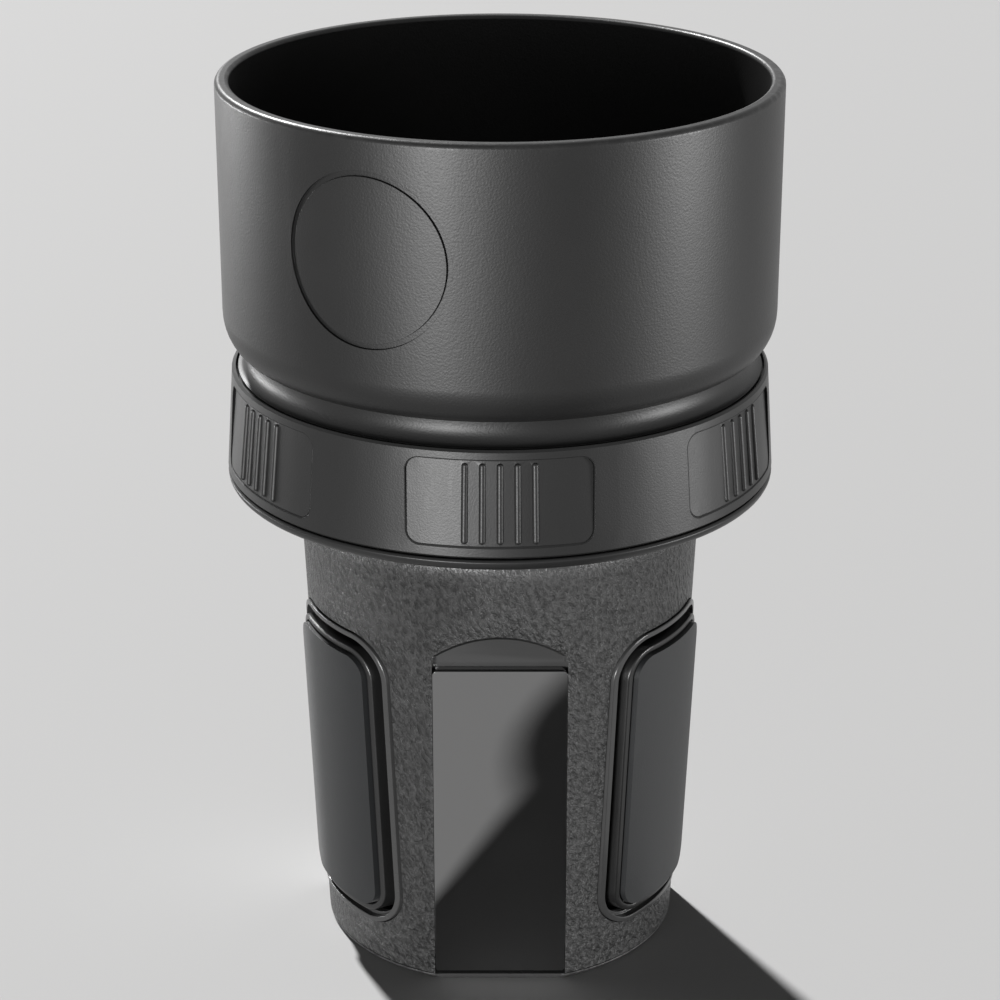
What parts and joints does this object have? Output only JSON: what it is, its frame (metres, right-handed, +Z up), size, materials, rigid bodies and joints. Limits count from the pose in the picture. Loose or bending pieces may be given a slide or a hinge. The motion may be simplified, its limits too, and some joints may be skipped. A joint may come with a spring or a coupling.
{
  "type": "cup holder expander",
  "caption": "Large cup on a tapered base that clamps in a vehicle cup holder: a twist ring with a scroll plate slides padded wings outwards.",
  "frame": {"origin": "on the axis of the cup, at the flat underside of the bottom cover", "axes": "+Z up along the common axis of cup, ring and base; -Y towards the front, where a flat glossy face lies between two wings; +X to the right"},
  "size_m": [0.1022, 0.1026, 0.168],
  "materials": {
    "cup_plastic": "satin moulded black plastic",
    "ring_plastic": "satin moulded black plastic",
    "base_plastic": "leather-grained black plastic",
    "gloss_black": "polished black plastic",
    "frame_plastic": "smooth black plastic",
    "wing_plastic": "moulded black plastic",
    "pad_rubber": "soft dark grey rubber",
    "mat_rubber": "ribbed black rubber",
    "slip_plastic": "natural low-friction plastic",
    "steel": "zinc-plated steel"
  },
  "bodies": {
    "base": {"cup_body": "cup_plastic", "cup_mat": "mat_rubber", "cup_screws": "steel", "slip_washer": "slip_plastic", "top_deck": "ring_plastic", "deck_screws": "steel", "base_housing": "base_plastic", "window_frame_left": "frame_plastic", "window_frame_right": "frame_plastic", "window_frame_rear": "frame_plastic", "gloss_panel_front": "gloss_black", "gloss_panel_rear_left": "gloss_black", "gloss_panel_rear_right": "gloss_black", "bottom_cover": "base_plastic", "cover_screws": "steel"},
    "ring": {"twist_ring": "ring_plastic", "scroll_plate": "slip_plastic", "scroll_screws": "steel"},
    "left_wing": {"wing_left": "wing_plastic", "wing_pad_left": "pad_rubber", "follower_pin_left": "steel"},
    "right_wing": {"wing_right": "wing_plastic", "wing_pad_right": "pad_rubber", "follower_pin_right": "steel"},
    "rear_wing": {"wing_rear": "wing_plastic", "wing_pad_rear": "pad_rubber", "follower_pin_rear": "steel"}
  },
  "joints": [
    {"name": "ring_twist", "type": "hinge", "parent": "base", "child": "ring", "pos_m": [0, 0, 0.0965], "axis": [0, 0, 1], "range_deg": [0, 100]},
    {"name": "left_wing_slide", "type": "slide", "parent": "base", "child": "left_wing", "axis": [-0.866, -0.5, 0], "range_m": [0, 0.015]},
    {"name": "right_wing_slide", "type": "slide", "parent": "base", "child": "right_wing", "axis": [0.866, -0.5, 0], "range_m": [0, 0.015]},
    {"name": "rear_wing_slide", "type": "slide", "parent": "base", "child": "rear_wing", "axis": [0, 1, 0], "range_m": [0, 0.015]}
  ],
  "couplings": [
    {"joint": "left_wing_slide", "follows": "ring_twist", "m_per_rad": 0.008594},
    {"joint": "right_wing_slide", "follows": "ring_twist", "m_per_rad": 0.008594},
    {"joint": "rear_wing_slide", "follows": "ring_twist", "m_per_rad": 0.008594}
  ]
}
